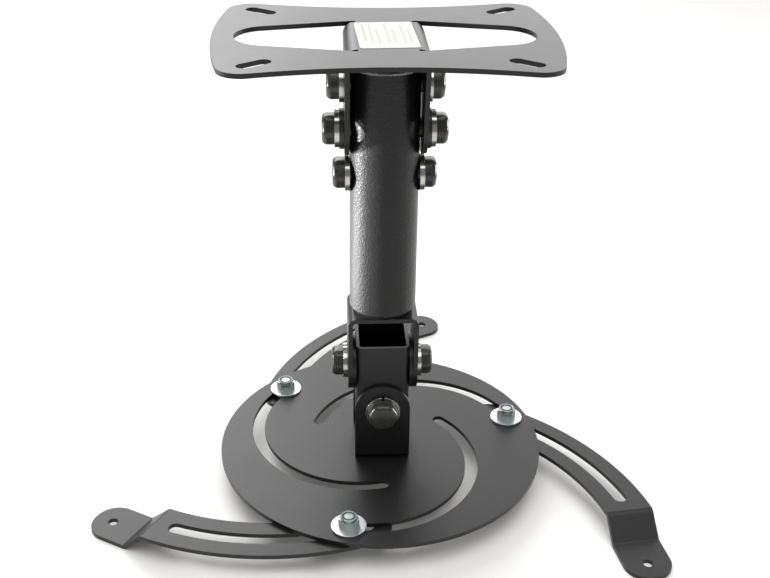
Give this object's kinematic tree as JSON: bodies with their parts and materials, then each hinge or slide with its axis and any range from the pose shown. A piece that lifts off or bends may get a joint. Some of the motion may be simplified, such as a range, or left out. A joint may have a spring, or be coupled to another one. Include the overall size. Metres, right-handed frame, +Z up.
{
  "type": "projector ceiling mount",
  "caption": "Ceiling mount for a projector: waisted slotted plate with folded legs, short tilting tube, cross joint, and a spiral-slotted disc with sliding arc arms.",
  "frame": {"origin": "centre of the ceiling plate's top face", "axes": "+Z up towards the ceiling, +X along the ceiling plate's length, -Y towards the picture's viewer"},
  "size_m": [0.2579, 0.2311, 0.215],
  "materials": {
    "black_steel": "satin black powder coat on sheet steel and tube",
    "black_fastener": "semi-gloss black coated steel",
    "zinc_steel": "bright zinc-plated steel"
  },
  "bodies": {
    "ceiling": {"ceiling_plate": "black_steel"},
    "mast": {"mast_tube": "black_steel", "yoke": "black_steel", "tilt_bolt": "black_fastener", "lock_bolt": "black_fastener", "tube_bolt": "black_fastener", "mast_nuts": "black_fastener", "mast_spring_washers": "zinc_steel", "lock_washers": "black_fastener"},
    "cross": {"cross_block": "black_steel", "pitch_bolt": "black_fastener", "roll_bolt": "black_fastener", "block_nuts": "black_fastener", "block_spring_washers": "zinc_steel", "pitch_spacers": "black_steel"},
    "head": {"clevis": "black_steel", "swivel_rivet": "zinc_steel"},
    "turntable": {"disc": "black_steel"},
    "carriage_left": {"arm_screw_left": "zinc_steel"},
    "clamp_left": {"arm_washer_left": "zinc_steel", "arm_nut_left": "zinc_steel"},
    "reach_left": {"arm_left": "black_steel"},
    "carriage_right": {"arm_screw_right": "zinc_steel"},
    "clamp_right": {"arm_washer_right": "zinc_steel", "arm_nut_right": "zinc_steel"},
    "reach_right": {"arm_right": "black_steel"},
    "carriage_back": {"arm_screw_back": "zinc_steel"},
    "clamp_back": {"arm_washer_back": "zinc_steel", "arm_nut_back": "zinc_steel"},
    "reach_back": {"arm_back": "black_steel"}
  },
  "joints": [
    {"name": "tilt", "type": "hinge", "parent": "ceiling", "child": "mast", "pos_m": [0, 0, -0.02], "axis": [1, 0, 0], "range_deg": [-20, 20]},
    {"name": "pitch", "type": "hinge", "parent": "mast", "child": "cross", "pos_m": [0, 0, -0.155], "axis": [1, 0, 0], "range_deg": [-25, 25]},
    {"name": "roll", "type": "hinge", "parent": "cross", "child": "head", "pos_m": [0, 0, -0.174], "axis": [0, 1, 0], "range_deg": [-20, 20]},
    {"name": "swivel", "type": "hinge", "parent": "head", "child": "turntable", "pos_m": [0, 0, -0.2015], "axis": [0, 0, 1], "continuous": true},
    {"name": "spiral_left", "type": "hinge", "parent": "turntable", "child": "carriage_left", "pos_m": [-0.00683, -0.016, -0.2015], "axis": [0, 0, 1], "range_deg": [0, 50]},
    {"name": "swing_left", "type": "hinge", "parent": "carriage_left", "child": "clamp_left", "pos_m": [-0.01722, -0.06409, -0.2015], "axis": [0, 0, 1], "range_deg": [-8, 8]},
    {"name": "reach_left_slide", "type": "hinge", "parent": "clamp_left", "child": "reach_left", "pos_m": [-0.049, 0.04747, -0.2036], "axis": [0, 0, 1], "range_deg": [-3.6, 20.4]},
    {"name": "spiral_right", "type": "hinge", "parent": "turntable", "child": "carriage_right", "pos_m": [0.01727, 0.00209, -0.2015], "axis": [0, 0, 1], "range_deg": [0, 50]},
    {"name": "swing_right", "type": "hinge", "parent": "carriage_right", "child": "clamp_right", "pos_m": [0.06412, 0.01713, -0.2015], "axis": [0, 0, 1], "range_deg": [-8, 8]},
    {"name": "reach_right_slide", "type": "hinge", "parent": "clamp_right", "child": "reach_right", "pos_m": [-0.00357, -0.07707, -0.2036], "axis": [0, 0, 1], "range_deg": [-3.6, 20.4]},
    {"name": "spiral_back", "type": "hinge", "parent": "turntable", "child": "carriage_back", "pos_m": [-0.01045, 0.01392, -0.2015], "axis": [0, 0, 1], "range_deg": [0, 50]},
    {"name": "swing_back", "type": "hinge", "parent": "carriage_back", "child": "clamp_back", "pos_m": [-0.04689, 0.04696, -0.2015], "axis": [0, 0, 1], "range_deg": [-8, 8]},
    {"name": "reach_back_slide", "type": "hinge", "parent": "clamp_back", "child": "reach_back", "pos_m": [0.06585, 0.01969, -0.2036], "axis": [0, 0, 1], "range_deg": [0, 24]}
  ]
}
